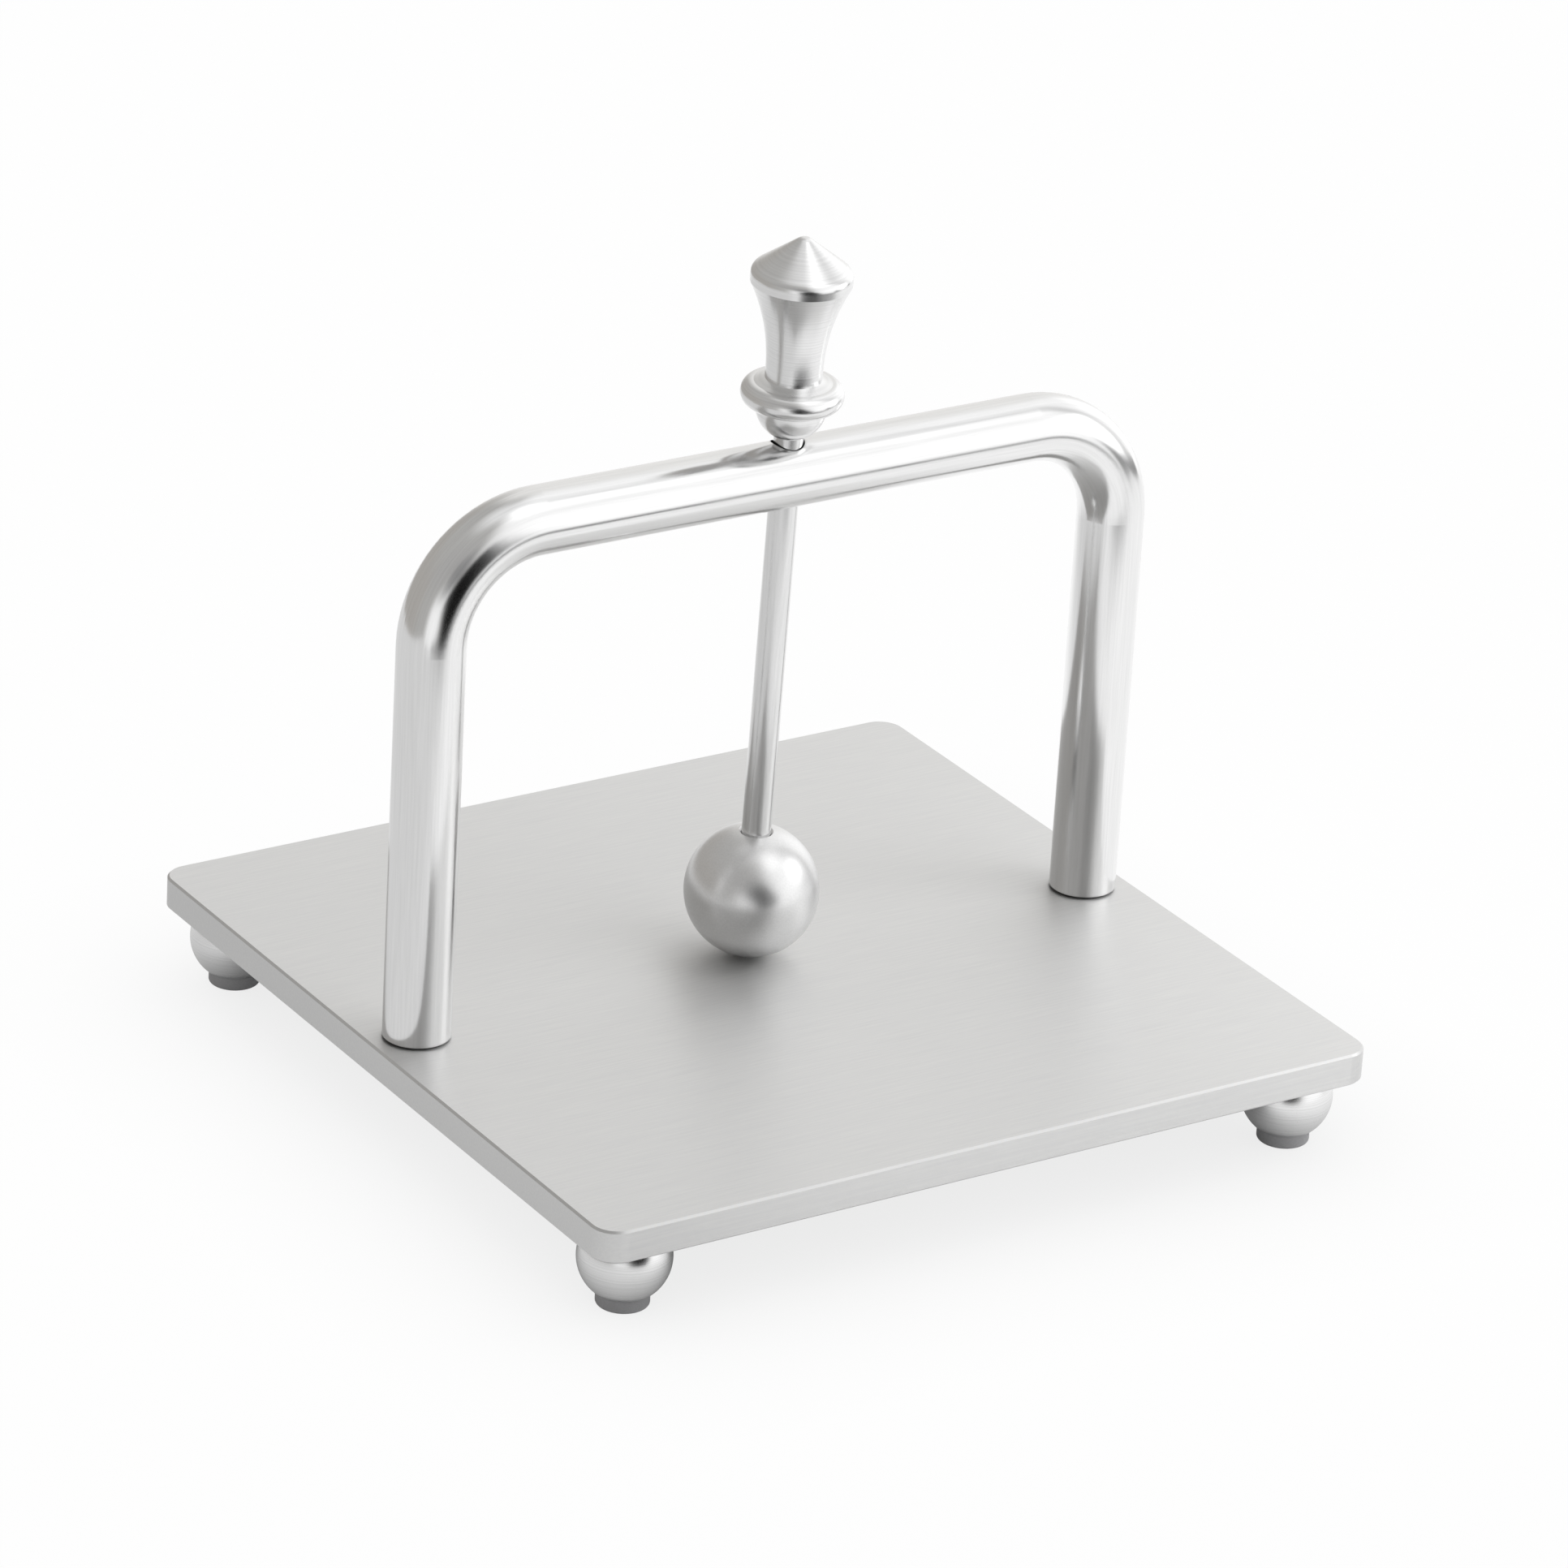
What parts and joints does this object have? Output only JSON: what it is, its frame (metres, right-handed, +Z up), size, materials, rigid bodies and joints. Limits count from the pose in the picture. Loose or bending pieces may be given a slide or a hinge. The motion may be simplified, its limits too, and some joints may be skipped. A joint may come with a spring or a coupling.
{
  "type": "napkin holder",
  "caption": "Square metal plate on ball feet with a bent tube arch over it and a ball weight on a sliding rod with a turned finial, which holds a flat stack of napkins down.",
  "frame": {"origin": "on the table, under the middle of the square plate", "axes": "+Z up; X along the arch, from its left leg to its right one; -Y is the front, where the arch is seen face on"},
  "size_m": [0.165, 0.165, 0.1651],
  "materials": {
    "plate_aluminium": "satin",
    "tube_aluminium": "brushed along the tube",
    "turned_aluminium": "turned and polished satin",
    "weight_steel": "satin",
    "screw_steel": "zinc plated",
    "pad_rubber": "matt moulded"
  },
  "bodies": {
    "base": {"base_plate": "plate_aluminium", "arch_tube": "tube_aluminium", "leg_plug_left": "turned_aluminium", "leg_plug_right": "turned_aluminium", "leg_screw_left": "screw_steel", "leg_screw_right": "screw_steel", "foot_front_left": "turned_aluminium", "foot_front_right": "turned_aluminium", "foot_back_left": "turned_aluminium", "foot_back_right": "turned_aluminium", "foot_screw_front_left": "screw_steel", "foot_screw_front_right": "screw_steel", "foot_screw_back_left": "screw_steel", "foot_screw_back_right": "screw_steel", "foot_pad_front_left": "pad_rubber", "foot_pad_front_right": "pad_rubber", "foot_pad_back_left": "pad_rubber", "foot_pad_back_right": "pad_rubber"},
    "weight": {"rod": "weight_steel", "ball_weight": "weight_steel"},
    "finial": {"finial": "turned_aluminium"}
  },
  "joints": [
    {"name": "weight_slide", "type": "slide", "parent": "base", "child": "weight", "axis": [0, -0.0401, 0.9992], "range_m": [0, 0.0658]},
    {"name": "finial_turn", "type": "hinge", "parent": "weight", "child": "finial", "pos_m": [0, 0, 0.11875], "axis": [0, -0.0401, 0.9992], "continuous": true}
  ]
}
